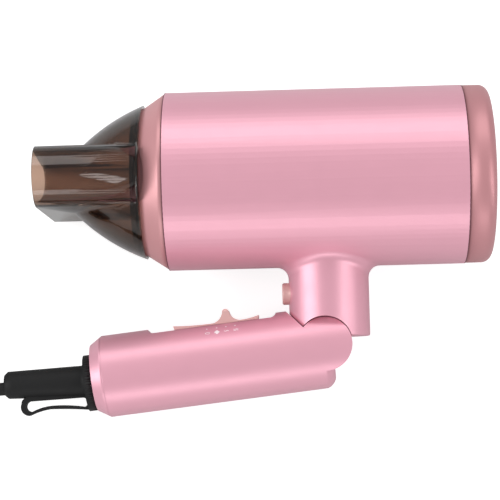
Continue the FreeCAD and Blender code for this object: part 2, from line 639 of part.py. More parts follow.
def make_hinge_pin():
    """Hollow rivet through the cheeks and the tongue."""
    reach = CHEEK_IN + CHEEK_T
    body = hinge_disc(PIN_R, -reach - 1.0, reach + 1.0)
    heads = [hinge_disc(5.4, z, z + 0.9) for z in (reach + 0.1, -reach - 1.0)]
    return join([body] + heads).cut(hinge_disc(PIN_R - 1.0, -BIG, BIG))


def make_end_cap():
    """Chamfered cap that closes the handle round the strain relief."""
    x0, x1 = HANDLE_CORD_X - CAP_LEN, HANDLE_CORD_X
    plug_r = HANDLE_R - HANDLE_WALL - FIT
    cap = lathe_x([
        (x1, HANDLE_R), (x0, CAP_TIP_R), (x0, 5.6), (x0 + 2, 5.6), (x0 + 2, CAP_TIP_R - 2.6),
        (x1, plug_r - 1.8), (x1 + 5, plug_r - 1.8), (x1 + 5, plug_r), (x1, plug_r)])
    cap.translate(Vector(0, HANDLE_AXIS_Y, 0))
    return cap


def make_switch_slider():
    """Slide switch: a long plate with a thumb ridge, and a stem down into the handle."""
    x0, x1 = SWITCH_PLATE_X
    bottom = SWITCH_FLOOR_Y + FIT
    left, right = SWITCH_X - RIDGE_HALF_BASE, SWITCH_X + RIDGE_HALF_BASE
    top_l, top_r = SWITCH_X - RIDGE_HALF_TOP, SWITCH_X + RIDGE_HALF_TOP
    low, shoulder = SWITCH_TOP_Y, RIDGE_TOP_Y - 1.1
    flank_y = (low + shoulder) / 2 - 0.65
    side = [(x0 + 0.3, bottom), (x1 - 0.3, bottom), (x1, SWITCH_END_Y),
            (((x1 + right) / 2, low + 0.25), (right, low)),
            (((right + top_r) / 2 - 0.9, flank_y), (top_r, shoulder)),
            ((SWITCH_X, RIDGE_TOP_Y), (top_l, shoulder)),
            (((left + top_l) / 2 + 0.9, flank_y), (left, low)),
            (((x0 + left) / 2, low + 0.25), (x0, SWITCH_END_Y))]
    plate = slab_z(side, -SWITCH_PLATE_HALF_W, SWITCH_PLATE_HALF_W)
    stem = block((SWITCH_X - 2.5, SWITCH_X + 2.5), (SWITCH_FLOOR_Y - 5.3, bottom + 0.4), (-2.0, 2.0))
    foot = block((SWITCH_X - 2.5, SWITCH_X + 2.5), (SWITCH_FLOOR_Y - 5.3, SWITCH_FLOOR_Y - 2.1 - FIT), (-4.5, 4.5))
    return join([plate, stem, foot])


def make_switch_body():
    """Four-position switch under the slider, standing on its board."""
    low, high = -1.2, SWITCH_FLOOR_Y - 5.7
    return block((-64.0, -30.0), (low, high), (-7.5, 7.5))


def make_switch_board():
    """Circuit board across the handle that carries the switch."""
    half = HANDLE_R - HANDLE_WALL - 0.3
    return block((-72.0, -24.0), (-2.8, -1.2), (-half, half))


def make_handle_wires():
    """Wires from the cord to the switch and from the switch to the hinge."""
    y = HANDLE_AXIS_Y + 5.2
    cord_side = [rod(1.2, Vector(-94.6, y, z), Vector(-64.3, y, z)) for z in (-4.9, 4.9)]
    hinge_side = [rod(1.2, Vector(-29.7, y, z), Vector(-14.5, y, z)) for z in (-3.2, 0, 3.2)]
    return group(cord_side + hinge_side)


def make_cord_clamp():
    """Clamp block that holds the cord inside the handle."""
    x0 = HANDLE_CORD_X + 2.4
    body = block((x0, x0 + 6.0), (HANDLE_AXIS_Y - 5.0, HANDLE_AXIS_Y + 5.0), (-CLAMP_R, CLAMP_R))
    return body.common(handle_rod(CLAMP_R, x0 - 1, x0 + 8))


def relief_frame(shape):
    """Lean a shape made on the X axis to the strain relief's direction, at the cap's face."""
    shape.rotate(ORIGIN, Z_AXIS, -RELIEF_BEND)
    shape.translate(Vector(HANDLE_CORD_X - CAP_LEN, RELIEF_Y, 0))
    return shape


def make_strain_relief():
    """Rubber strain relief: a flange on the cap and a long taper round the cord."""
    face_x = HANDLE_CORD_X - CAP_LEN
    r0, r1 = RELIEF_R
    end_x = -RELIEF_LEN
    taper = relief_frame(lathe_x([(-0.6, 0), (-0.6, r0), (end_x + 1.6, r1), (end_x, r1 - 1.4), (end_x, 0)]))
    flange = rod(FLANGE_R, Vector(face_x - FLANGE_T, FLANGE_Y, 0), Vector(face_x, FLANGE_Y, 0))
    neck = handle_rod(5.4, face_x - 1, face_x + 4.0)
    anchor = handle_rod(8.0, face_x + 2.2, face_x + 4.0)
    return join([taper.common(handle_rod(BIG, face_x - 80, face_x)), flange, neck, anchor])


def make_hanging_loop():
    """Flat rubber strap along the relief's underside, round and back to the flange: a loop."""
    face_x = HANDLE_CORD_X - CAP_LEN
    outer = [(face_x, -16.7), ((-120.5, -14.6), (-131.0, -13.3)), ((-136.5, -13.8), (-141.4, -15.1)),
             ((-144.2, -13.4), (-144.4, -9.0)), ((-143.8, -7.4), (-142.0, -6.6)), (-142.0, -4.6),
             (-118.0, -6.6), (face_x, -8.0)]
    hole = [(-115.6, -9.9), ((-113.4, -12.1), (-115.3, -14.3)), ((-124.0, -12.4), (-131.0, -11.7)),
            ((-135.5, -12.1), (-139.4, -13.2)), ((-142.7, -10.9), (-140.6, -8.5))]
    strap = slab_z(outer, -STRAP_HALF_W, STRAP_HALF_W)
    return strap.cut(slab_z(hole, -STRAP_HALF_W - 1, STRAP_HALF_W + 1))


# ---- cord, coil and plug (row frame) --------------------------------------------------
def rounded_tube(points, radius):
    """A tube of straight runs and tangent arcs; each arc is as large as its runs allow."""
    edges = []
    here = points[0]
    for before, corner, after in zip(points, points[1:], points[2:]):
        back, ahead = before - corner, after - corner
        half_turn = (math.pi - back.getAngle(ahead)) / 2
        bend = 0.45 * min(back.Length, ahead.Length) / math.tan(half_turn)
        cut = 0.45 * min(back.Length, ahead.Length)
        back.normalize()
        ahead.normalize()
        start, end = corner + back * cut, corner + ahead * cut
        inward = back + ahead
        inward.normalize()
        middle = corner + inward * (bend / math.cos(half_turn) - bend)
        print("cord arc radius %.1f mm, turn %.1f degrees" % (bend, math.degrees(2 * half_turn)))
        edges += [Part.makeLine(here, start), Part.Arc(start, middle, end).toShape()]
        here = end
    edges.append(Part.makeLine(here, points[-1]))
    path = Part.Wire(edges)
    section = Part.Wire(Part.makeCircle(radius, points[0], points[1] - points[0]))
    tube = path.makePipeShell([section], True, False)
    print("cord tube length %.1f mm, volume share %.4f"
          % (path.Length, tube.Volume / (path.Length * math.pi * radius ** 2)))
    return tube


def make_power_cord(exit_point):
    """The cord from the strain relief down to the coil."""
    return rounded_tube([exit_point, Vector(-138.0, -60.8, 16.4), Vector(-163.0, -61.8, 7.4),
                         Vector(-190.0, -63.5, 5.2)], CORD_R)


def make_cord_coil():
    """Outer shape of the coiled cord, one closed ring."""
    width, height = COIL_SECTION
    low, high = COIL_LIFT, COIL_LIFT + height
    r0, r1 = COIL_MEAN_R - width / 2, COIL_MEAN_R + width / 2
    c = 4.0
    face = outline([(r0 + c, low), (r1 - c, low), (r1, low + c), (r1, high - c), (r1 - c, high),
                    (r0 + c, high), (r0, high - c), (r0, low + c)])
    face.rotate(ORIGIN, X_AXIS, 90)
    ring = face.revolve(ORIGIN, Z_AXIS, 360)
    ring.translate(COIL_CENTRE)
    return ring


def make_coil_tie():
    """Band round the coil that keeps its turns together."""
    width, height = COIL_SECTION
    r0, r1 = COIL_MEAN_R - width / 2, COIL_MEAN_R + width / 2
    slack, band = 0.1, 0.8
    outer = block((r0 - band - slack, r1 + band + slack), (-2.5, 2.5),
                  (COIL_LIFT - band - slack, COIL_LIFT + height + band + slack))
    inner = block((r0 - slack, r1 + slack), (-4, 4), (COIL_LIFT - slack, COIL_LIFT + height + slack))
    tie = outer.cut(inner)
    tie.rotate(ORIGIN, Z_AXIS, 30)
    tie.translate(COIL_CENTRE)
    return tie


def make_cord_tail():
    """The last stretch of cord, from the coil to the plug."""
    return rounded_tube([Vector(-225.5, -26.0, 5.0), Vector(-227.5, -10.0, 4.6),
                         Vector(-231.0, 5.0, 6.0), PLUG_AT], CORD_R)


def make_plug_body():
    """Flat two-pin plug with a waist and a tapered cord entry, pins towards +Y."""
    half_w, half_t, length = 17.5, 6.8, PLUG_LEN
    side = [(-half_w, 0), (half_w, 0), ((half_w - 2.2, 12), (half_w - 3.5, 22)),
            ((9.0, length - 3), (5.0, length)), (-5.0, length),
            ((-9.0, length - 3), (-half_w + 3.5, 22)), ((-half_w + 2.2, 12), (-half_w, 0))]
    body = slab_z(side, -half_t, half_t)
    entry = Part.makeCone(5.6, 4.4, PLUG_ENTRY_LEN + 2, Vector(0, length - 2, 0), Y_AXIS)
    plug = join([body, entry])
    plug.rotate(ORIGIN, Z_AXIS, 180)
    plug.translate(PLUG_AT + Vector(0, length + PLUG_ENTRY_LEN, 0))
    return plug


def make_plug_pins():
    """Two round pins with insulated roots."""
    face_y = PLUG_AT.y + PLUG_LEN + PLUG_ENTRY_LEN
    tip_y = face_y + PLUG_PIN_LEN
    pins = []
    for side in (-1, 1):
        x = PLUG_AT.x + side * PLUG_PIN_PITCH / 2
        pin = rod(PLUG_PIN_R, Vector(x, face_y, PLUG_AT.z), Vector(x, tip_y, PLUG_AT.z))
        tip = [e for e in pin.Edges if abs(e.BoundBox.YMin - tip_y) < 0.01]
        pins.append(pin.makeFillet(1.2, tip))
    return group(pins)


# ---- laying the dryer down ------------------------------------------------------------
def handle_to_dryer(shape):
    """Put a shape from the handle frame into the dryer frame, folded."""
    shape.rotate(ORIGIN, Z_AXIS, REST_FOLD)
    shape.translate(HINGE)
    return shape


def lie_angle():
    """Degrees to lean the dryer so that barrel and handle both touch the surface."""
    fold = math.radians(REST_FOLD)
    low_y = -HINGE.y - HANDLE_CORD_X * math.sin(fold) - HANDLE_AXIS_Y * math.cos(fold)
    return math.degrees(math.asin((BARREL_R - HANDLE_R) / low_y))


def lay_down(shape, shift):
    """Lean a shape about the barrel's axis and lift it onto the surface."""
    shape.rotate(ORIGIN, X_AXIS, lie_angle())
    shape.translate(shift)
    return shape


def build():
    """Make every piece and write one STEP file for each."""
    near, far, screws = make_handle_halves()
    in_dryer = {
        "barrel_shell": make_barrel_shell(), "front_ring": make_front_ring(),
        "outlet_grille": make_outlet_grille(), "rear_ring": make_rear_ring(),
        "inlet_grille": make_inlet_grille(), "inlet_filter": make_inlet_filter(),
        "nozzle": turned(make_nozzle()), "nozzle_collar": make_nozzle_collar(),
        "retainer_ring": make_retainer_ring(), "fan_duct": make_fan_duct(), "fan": make_fan(),
        "motor_can": make_motor_can(), "motor_magnets": make_motor_magnets(),
        "motor_rotor": make_motor_rotor(), "motor_shaft": make_motor_shaft(),
        "motor_bushes": make_motor_bushes(), "motor_end_cap": make_motor_end_cap(),
        "motor_board": make_motor_board(), "board_diodes": make_board_diodes(),
        "heater_liner": make_heater_liner(), "heater_boards": make_heater_boards(),
        "heater_coils": make_heater_coils(), "thermostat": make_thermostat(),
        "thermal_fuse": make_thermal_fuse(), "hinge_lug": make_hinge_lug(),
        "hinge_washers": make_hinge_washers(), "release_button": make_release_button(),
        "button_spring": make_button_spring(), "neck_wires": make_neck_wires()}
    in_handle = {
        "handle_shell_near": near, "handle_shell_far": far, "handle_screws": screws,
        "hinge_pin": make_hinge_pin(), "handle_end_cap": make_end_cap(),
        "switch_slider": make_switch_slider(), "switch_body": make_switch_body(),
        "switch_board": make_switch_board(), "handle_wires": make_handle_wires(),
        "cord_clamp": make_cord_clamp(), "strain_relief": make_strain_relief(),
        "hanging_loop": make_hanging_loop()}
    for name, shape in in_handle.items():
        in_dryer[name] = handle_to_dryer(shape)
    laid = {name: lay_down(shape, Vector(0, 0, BARREL_R)) for name, shape in in_dryer.items()}
    box = FreeCAD.BoundBox()
    for shape in laid.values():
        box.add(shape.optimalBoundingBox(True, False))
    centre = Vector(-(box.XMin + box.XMax) / 2, -(box.YMin + box.YMax) / 2, 0)
    print("size without the cord %.1f x %.1f x %.1f mm, lowest %.2f, leans %.2f degrees"
          % (box.XLength, box.YLength, box.ZLength, box.ZMin, lie_angle()))
    for shape in laid.values():
        shape.translate(centre)
    end = Part.Vertex(relief_frame_end())
    exit_point = lay_down(handle_to_dryer(end), Vector(0, 0, BARREL_R) + centre).Point
    hinge = lay_down(Part.Vertex(HINGE), Vector(0, 0, BARREL_R) + centre).Point
    print("barrel axis at Y %.3f, hinge at %s, cord leaves at %s"
          % (centre.y, tuple(round(c, 3) for c in hinge), tuple(round(c, 3) for c in exit_point)))
    print("X shift %.3f" % centre.x)
    laid.update({
        "power_cord": make_power_cord(exit_point), "cord_coil": make_cord_coil(),
        "coil_tie": make_coil_tie(), "cord_tail": make_cord_tail(),
        "plug_body": make_plug_body(), "plug_pins": make_plug_pins()})
    os.makedirs("parts", exist_ok=True)
    for name, shape in laid.items():
        if not shape.isValid():
            print("NOT VALID", name)
        shape.exportStep("parts/%s.step" % name)
        print("%-20s %10.1f mm3 %3d solids" % (name, shape.Volume, len(shape.Solids)))


def relief_frame_end():
    """The middle of the strain relief's end face, in the handle frame."""
    tip = Part.Vertex(Vector(-RELIEF_LEN, -CORD_DROP, 0))
    return relief_frame(tip).Point


build()
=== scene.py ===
# %% The frame
import json
import math
import bmesh
import bpy
import numpy as np
from mathutils import Matrix, Vector


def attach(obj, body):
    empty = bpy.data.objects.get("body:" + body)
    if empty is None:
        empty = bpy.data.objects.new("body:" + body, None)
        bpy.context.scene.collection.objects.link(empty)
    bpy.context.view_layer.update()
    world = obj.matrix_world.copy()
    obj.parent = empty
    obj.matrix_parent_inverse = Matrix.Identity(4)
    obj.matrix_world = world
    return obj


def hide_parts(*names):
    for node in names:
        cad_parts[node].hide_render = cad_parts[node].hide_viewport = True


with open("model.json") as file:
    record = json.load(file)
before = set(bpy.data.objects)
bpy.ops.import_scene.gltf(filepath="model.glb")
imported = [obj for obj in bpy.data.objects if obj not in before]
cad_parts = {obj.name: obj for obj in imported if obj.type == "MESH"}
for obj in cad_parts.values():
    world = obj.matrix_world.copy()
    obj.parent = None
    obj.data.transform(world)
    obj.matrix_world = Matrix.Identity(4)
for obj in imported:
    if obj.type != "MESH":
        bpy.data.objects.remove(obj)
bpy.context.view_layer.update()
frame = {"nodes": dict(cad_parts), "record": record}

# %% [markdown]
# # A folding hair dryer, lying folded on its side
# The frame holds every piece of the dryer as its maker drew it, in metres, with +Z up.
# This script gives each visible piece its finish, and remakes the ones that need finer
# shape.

scene = bpy.context.scene
scene.view_settings.view_transform = "Standard"

# %% [markdown]
# ## Two ways to measure
# The dryer is easiest to describe along its own barrel: x backwards, y away from the
# handle, z out of its side. It lies leaning by a few degrees, because the barrel is thicker
# than the handle. One turn about the barrel and one shift take those numbers to the frame.

# %% From the dryer's own axes to the frame
LEAN = math.radians(14.54)
BARREL_AXIS = np.array([0.037906, 0.032569, 0.042])
FOLD = math.radians(6.2)
HINGE = np.array([-0.0027, -0.0784, 0.0])


def dryer_to_row(points):
    """y and z turned by the lean, then shifted to the barrel's axis. Takes an (n, 3) array."""
    p = np.asarray(points, dtype=float)
    y = p[:, 1] * math.cos(LEAN) - p[:, 2] * math.sin(LEAN)
    z = p[:, 1] * math.sin(LEAN) + p[:, 2] * math.cos(LEAN)
    return np.stack([p[:, 0], y, z], axis=1) + BARREL_AXIS


def handle_to_row(points):
    """x and y turned by the fold angle about the hinge, then the dryer's own move."""
    p = np.asarray(points, dtype=float)
    x = p[:, 0] * math.cos(FOLD) - p[:, 1] * math.sin(FOLD)
    y = p[:, 0] * math.sin(FOLD) + p[:, 1] * math.cos(FOLD)
    return dryer_to_row(np.stack([x, y, p[:, 2]], axis=1) + HINGE)


print("hinge in the frame", handle_to_row([[0, 0, 0]])[0].round(4))

# %% [markdown]
# ## Camera
# A long lens from almost straight above, as a catalogue picture of something laid on a
# table. The three columns of the camera's turn are its right, up and backward directions.

# %% Camera
camera_data = bpy.data.cameras.new("camera")
camera_data.sensor_width = 36.0
camera_data.lens = 122.4
camera_data.clip_start = 0.01
camera = bpy.data.objects.new("camera", camera_data)
right = Vector((0.999239, -0.014850, -0.036069))
up = Vector((0.025702, 0.946232, 0.322467))
back = right.cross(up)
camera.matrix_world = Matrix((right, up, back)).transposed().to_4x4()
camera.location = (0.024771, -0.258491, 0.791515)
scene.collection.objects.link(camera)
scene.camera = camera
print("camera", tuple(round(c, 4) for c in camera.location))

# %% [markdown]
# ## Mains cord
# A real cord is one length of round rubber: it leaves the strain relief, sinks to the table
# and is wound in a neat coil. One smooth curve is the natural way to make it, because the
# length stays true. The coil's points are worked out turn by turn: the radius and the height
# step from one place in the winding to the next over a short part of a turn.

# %% Mains cord
CORD_R = 0.0031
COIL_CENTRE = np.array([-0.190, -0.029])
lead = np.array([[-0.115293, -0.06016, 0.017948], [-0.1300, -0.0606, 0.0173],
                 [-0.1450, -0.0603, 0.0120], [-0.1590, -0.0608, 0.0058]])
turn = np.arange(0.0, 7.36, 1 / 16)
at_turn = [0, 0.85, 1.0, 1.85, 2.0, 2.85, 3.05, 3.85, 4.0, 4.7, 5.1, 5.9, 6.05, 6.9, 7.05, 7.4]
coil_r = np.interp(turn, at_turn, [44.2, 44.2, 37.8, 37.8, 31.4, 31.4, 34.6, 34.6, 41.0, 41.0,
                                   31.4, 31.4, 37.8, 37.8, 44.2, 44.2]) / 1000
coil_z = np.interp(turn, at_turn, [4.3, 4.3, 4.3, 4.3, 4.3, 4.3, 9.7, 9.7, 9.7, 9.7,
                                   15.8, 15.2, 15.2, 15.2, 15.0, 12.0]) / 1000
coil_angle = -math.radians(62) - 2 * math.pi * turn
winding = np.stack([COIL_CENTRE[0] + coil_r * np.cos(coil_angle),
                    COIL_CENTRE[1] + coil_r * np.sin(coil_angle), coil_z], axis=1)
tail = np.array([[-0.2300, -0.0070, 0.0080], [-0.2306, 0.0050, 0.0060],
                 [-0.2310, 0.0130, 0.0066], [-0.2310, 0.0200, 0.0069]])
route = np.concatenate([lead, winding, tail])


def nurbs_tube(name, points, radius):
    """A smooth curve steered by the points; each point's own radius sets the round section."""
    curve = bpy.data.curves.new(name, "CURVE")
    curve.dimensions = "3D"
    curve.bevel_depth = 1.0
    curve.bevel_resolution = 5
    curve.use_fill_caps = True
    spline = curve.splines.new("NURBS")
    spline.points.add(len(points) - 1)
    spline.points.foreach_set("co", np.c_[points, np.ones(len(points))].ravel())
    spline.points.foreach_set("radius", np.full(len(points), radius))
    spline.order_u = 3
    spline.use_endpoint_u = True
    spline.resolution_u = 4
    tube = bpy.data.objects.new(name, curve)
    scene.collection.objects.link(tube)
    return tube


cord = nurbs_tube("mains_cord", route, CORD_R)
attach(cord, "handle")
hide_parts("power_cord", "cord_coil", "cord_tail")

# %% [markdown]
# ## Finishes
# Every finish starts from one shader with a base colour, a roughness and a little texture of
# its own. Moulded plastic is never perfectly even: its gloss varies over a few millimetres,
# and its surface has a grain far finer than that. Two noise patterns on the piece's own
# coordinates give both, so that nothing slides when a piece moves.

# %% A helper for finishes
def linear(red, green, blue):
    """sRGB 0-255 to the linear numbers that a shader takes: ((c + 0.055) / 1.055) ** 2.4."""
    c = np.array([red, green, blue]) / 255
    c = np.where(c <= 0.04045, c / 12.92, ((c + 0.055) / 1.055) ** 2.4)
    return (*c, 1.0)


def finish(name, colour, roughness, grain=0.05, grain_mm=0.25, cloud=0.04, **sockets):
    """A shader whose roughness drifts over a few millimetres and whose surface has a grain."""
    mat = bpy.data.materials.new(name)
    mat.use_nodes = True
    nodes, links = mat.node_tree.nodes, mat.node_tree.links
    shader = nodes["Principled BSDF"]
    shader.inputs["Base Color"].default_value = linear(*colour)
    for socket, value in sockets.items():
        shader.inputs[socket.replace("_", " ")].default_value = value
    place = nodes.new("ShaderNodeTexCoord")
    drift = nodes.new("ShaderNodeTexNoise")
    drift.inputs["Scale"].default_value = 160
    spread = nodes.new("ShaderNodeMapRange")
    spread.inputs["To Min"].default_value = max(roughness - cloud, 0.01)
    spread.inputs["To Max"].default_value = roughness + cloud
    fine = nodes.new("ShaderNodeTexNoise")
    fine.inputs["Scale"].default_value = 1000 / grain_mm
    bump = nodes.new("ShaderNodeBump")
    bump.inputs["Strength"].default_value = grain
    bump.inputs["Distance"].default_value = grain_mm / 5000
    links.new(place.outputs["Object"], drift.inputs["Vector"])
    links.new(drift.outputs["Fac"], spread.inputs["Value"])
    links.new(spread.outputs["Result"], shader.inputs["Roughness"])
    links.new(place.outputs["Object"], fine.inputs["Vector"])
    links.new(fine.outputs["Fac"], bump.inputs["Height"])
    links.new(bump.outputs["Normal"], shader.inputs["Normal"])
    return mat


# %% The finishes of this dryer
pink = finish("pink_satin", (226, 164, 181), 0.42, grain=0.04, Metallic=0.38,
              Coat_Weight=0.5, Coat_Roughness=0.36)
# The rear ring gets its own copy of the rose gold, darker in colour.
rear_ring_gold = finish("rear_ring_darker_rose_gold", (194, 136, 141), 0.44, grain=0.06, grain_mm=0.2,
                   Metallic=0.35)
rose_gold = finish("rose_gold_paint", (208, 150, 154), 0.42, grain=0.06, grain_mm=0.2,
                   Metallic=0.35)
pale_gold = finish("pale_gold_paint", (226, 182, 178), 0.38, grain=0.05, grain_mm=0.2,
                   Metallic=0.15)
dark = finish("dark_moulding", (32, 31, 33), 0.45, grain=0.12)
rubber = finish("soft_black_rubber", (15, 15, 16), 0.62, grain=0.15, cloud=0.06,
                Specular_IOR_Level=0.3)
plug_black = finish("plug_black", (28, 28, 29), 0.38, grain=0.12)
steel = finish("bright_steel", (196, 197, 200), 0.28, Metallic=1.0)
bronze = finish("sintered_bronze", (170, 136, 84), 0.5, Metallic=1.0)
chrome = finish("plated_pins", (214, 212, 206), 0.14, cloud=0.02, Metallic=1.0)
mica = finish("mica_board", (186, 170, 140), 0.6, grain=0.3, grain_mm=1.2)
wire = finish("resistance_wire", (140, 134, 126), 0.4, Metallic=1.0)
insulation = finish("wire_insulation", (218, 212, 204), 0.5)
board = finish("circuit_board", (46, 108, 68), 0.5)
print("finishes", len(bpy.data.materials))

# %% [markdown]
# ## Smoked nozzle
# The nozzle is clear plastic with a brown-grey dye. Seen straight on, one wall takes a third
# of the light; seen on edge, the light runs a long way inside the wall and almost none is
# left, so the outlines look black. A weight that grows towards the edges mixes the two tints.
# The light is bent only a little, because both sides of a wall are nearly parallel.

# %% Smoked plastic
smoke = finish("smoked_plastic", (200, 172, 140), 0.03, grain=0.01, cloud=0.015,
               Transmission_Weight=1.0, IOR=1.10, Coat_Weight=1.0, Coat_IOR=1.5,
               Coat_Roughness=0.08)
nodes, links = smoke.node_tree.nodes, smoke.node_tree.links
edge_on = nodes.new("ShaderNodeLayerWeight")
edge_on.inputs["Blend"].default_value = 0.38
tint = nodes.new("ShaderNodeValToRGB")
tint.color_ramp.elements[0].color = linear(164, 134, 116)
tint.color_ramp.elements[1].color = linear(14, 11, 16)
tint.color_ramp.elements[1].position = 0.62
links.new(edge_on.outputs["Facing"], tint.inputs["Fac"])
links.new(tint.outputs["Color"], nodes["Principled BSDF"].inputs["Base Color"])
print("smoked plastic ready")

# %% Finish for each of the maker's pieces
by_slot = {"pink_plastic": pink, "rose_gold_plastic": rose_gold, "dark_plastic": dark,
           "black_rubber": rubber, "smoked_plastic": smoke, "mica_board": mica,
           "bright_steel": steel, "bronze_bush": bronze, "green_board": board,
           "resistance_wire": wire, "wire_insulation": insulation,
           "plug_black": plug_black, "pin_brass": chrome}
slot_of = {s["node"]: s["material_slot"] for s in frame["record"]["subparts"]}
body_of = {node: body for body, nodes in frame["record"]["behaviour"]["bodies"].items() for node in nodes}
for node, piece in frame["nodes"].items():
    piece.data.materials.clear()
    piece.data.materials.append(by_slot[slot_of[node]])
for node in ("release_button", "switch_slider"):
    frame["nodes"][node].data.materials[0] = pale_gold
# The rear ring takes the darker copy of the rose gold.
frame["nodes"]["rear_ring"].data.materials[0] = rear_ring_gold
cord.data.materials.append(rubber)
print("painted", len(frame["nodes"]))

# %% [markdown]
# ## Smooth copies
# The maker's model comes as loose triangles. A copy with its corners merged can be shaded
# smooth, with a crisp edge wherever two faces meet at more than a few degrees.

# %% Smooth copies
def smooth_copy(node, crease=28):
    """The node's triangles merged into one skin, smooth except across edges past the crease."""
    source = frame["nodes"][node]
    copy = bpy.data.objects.new(node + "_skin", source.data.copy())
    skin = bmesh.new()
    skin.from_mesh(copy.data)
    skin.transform(source.matrix_world)
    bmesh.ops.remove_doubles(skin, verts=skin.verts, dist=1e-6)
    skin.to_mesh(copy.data)
    skin.free()
    scene.collection.objects.link(copy)
    copy.data.shade_smooth()
    copy.data.set_sharp_from_angle(angle=math.radians(crease))
    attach(copy, body_of[node])
    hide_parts(node)
    return copy


skins = {}
for node in ("barrel_shell", "front_ring", "rear_ring", "handle_shell_near", "handle_shell_far",
             "handle_end_cap", "nozzle", "nozzle_collar", "release_button", "switch_slider",
             "strain_relief", "hanging_loop", "hinge_lug", "inlet_grille", "outlet_grille",
             "plug_body", "plug_pins", "hinge_pin"):
    skins[node] = smooth_copy(node)
print("smooth copies", len(skins))

# %% [markdown]
# ## A round handle across its seam
# The handle is moulded in two halves that close on a seam. Each half alone doesn't know
# how its neighbour curves, so the seam would show as a crease. The handle's outside is a true
# cylinder, so its exact normal is known: straight out from the axis.

# %% Exact normals on the handle's outside
HANDLE_R, HANDLE_AXIS_Y = 0.01915, -0.00145


def round_normals(skin, radius, on_axis, along):
    """Normal (p - axis) / |p - axis| for each corner of a face whose corners all lie at the radius."""
    mesh = skin.data
    spot = np.empty(len(mesh.vertices) * 3)
    mesh.vertices.foreach_get("co", spot)
    arm = spot.reshape(-1, 3) - on_axis
    arm -= np.outer(arm @ along, along)
    far = np.linalg.norm(arm, axis=1)
    corner = np.empty(len(mesh.loops), dtype=np.int32)
    mesh.loops.foreach_get("vertex_index", corner)
    now = np.empty(len(mesh.loops) * 3, dtype=np.float32)
    mesh.corner_normals.foreach_get("vector", now)
    now = now.reshape(-1, 3)
    outward = arm[corner] / np.maximum(far[corner], 1e-9)[:, None]
    on_skin = np.abs(far[corner] - radius) < 3e-5
    whole = np.repeat(np.minimum.reduceat(on_skin, np.arange(0, len(corner), 3)), 3)
    facing = np.sum(outward * now, axis=1) > 0.8
    use = whole & facing
    now[use] = outward[use]
    mesh.normals_split_custom_set(now.tolist())
    return int(use.sum())


axis_points = handle_to_row(np.array([[0.0, HANDLE_AXIS_Y, 0.0], [-0.1, HANDLE_AXIS_Y, 0.0]]))
along = (axis_points[1] - axis_points[0]) / np.linalg.norm(axis_points[1] - axis_points[0])
for node in ("handle_shell_near", "handle_shell_far"):
    print(node, round_normals(skins[node], HANDLE_R, axis_points[0], along))


# %% [markdown]
# ## Small pieces made as surfaces
# A tie is a soft strip bent round the coil: its middle line is a rounded rectangle. The guard
# over the air inlet is a shallow dome of wire: rings crossed by spokes, spot-welded in the
# factory. Where two mouldings meet there is a fine shadow line, drawn as a hair-thin band.

# %% Helpers for surfaces
def grid_piece(name, grids, material, body, crease=40):
    """Closed grids of points (rows, columns, 3), wrapped both ways, as one mesh."""
    points, quads, count = [], [], 0
    for grid in grids:
        rows, columns = grid.shape[:2]
        i, j = np.meshgrid(np.arange(rows), np.arange(columns), indexing="ij")
        index = lambda a, b: (a % rows) * columns + b % columns + count
        quads.append(np.stack([index(i, j), index(i + 1, j), index(i + 1, j + 1),
                               index(i, j + 1)], axis=-1).reshape(-1, 4))
        points.append(grid.reshape(-1, 3))
        count += rows * columns
    mesh = bpy.data.meshes.new(name)
    mesh.from_pydata(np.concatenate(points).tolist(), [], np.concatenate(quads).tolist())
    made = bmesh.new()
    made.from_mesh(mesh)
    bmesh.ops.recalc_face_normals(made, faces=made.faces)
    made.to_mesh(mesh)
    made.free()
    mesh.materials.append(material)
    mesh.shade_smooth()
    mesh.set_sharp_from_angle(angle=math.radians(crease))
    piece = bpy.data.objects.new(name, mesh)
    scene.collection.objects.link(piece)
    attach(piece, body)
    return piece


TIE_R, TIE_Z = 0.0378, 0.0102            # middle of the bundle of turns
TIE_REACH_R, TIE_REACH_Z = 0.0108, 0.0092
TIE_HALF_W, TIE_T = 0.0025, 0.0009


def tie_loop():
    """|(r - R) / a|^5 + |(z - Z) / b|^5 = 1 round the bundle of turns: a rounded rectangle."""
    t = np.linspace(0, 2 * np.pi, 48, endpoint=False)
    shape = np.stack([np.sign(np.cos(t)) * np.abs(np.cos(t)) ** 0.4,
                      np.sign(np.sin(t)) * np.abs(np.sin(t)) ** 0.4], axis=1)
    section = np.array([[-TIE_HALF_W, 0.0], [TIE_HALF_W, 0.0], [TIE_HALF_W, TIE_T],
                        [-TIE_HALF_W, TIE_T]])
    grid = np.empty((len(t), 4, 3))
    for k, (side, out) in enumerate(section):
        r = TIE_R + shape[:, 0] * (TIE_REACH_R + out)
        z = TIE_Z + shape[:, 1] * (TIE_REACH_Z + out)
        grid[:, k] = np.stack([r, np.full(len(t), side), z], axis=1)
    turned = math.radians(30)
    spin = np.array([[math.cos(turned), -math.sin(turned), 0],
                     [math.sin(turned), math.cos(turned), 0], [0, 0, 1]])
    return grid @ spin.T + np.array([*COIL_CENTRE, 0.0])


tie = grid_piece("cable_tie", [tie_loop()], rubber, "handle")
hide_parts("coil_tie")


# %% Inlet guard and seams
GUARD_INNER_R, GUARD_OUTER_R = 0.004, 0.0346
SEAM_R = 0.04184
BARREL_ENDS_X = (-0.0746, 0.0638)


def ring_of_wire(centre_r, x, wire_r, count=96, round_count=8):
    """A torus about the barrel's axis at x: r = R + w cos v, x = x0 + w sin v."""
    u = np.linspace(0, 2 * np.pi, count, endpoint=False)[:, None]
    v = np.linspace(0, 2 * np.pi, round_count, endpoint=False)[None, :]
    r = centre_r + wire_r * np.cos(v)
    along_x = x + wire_r * np.sin(v) + 0 * u
    grid = np.stack([along_x, r * np.cos(u), r * np.sin(u)], axis=-1)
    return dryer_to_row(grid.reshape(-1, 3)).reshape(grid.shape)


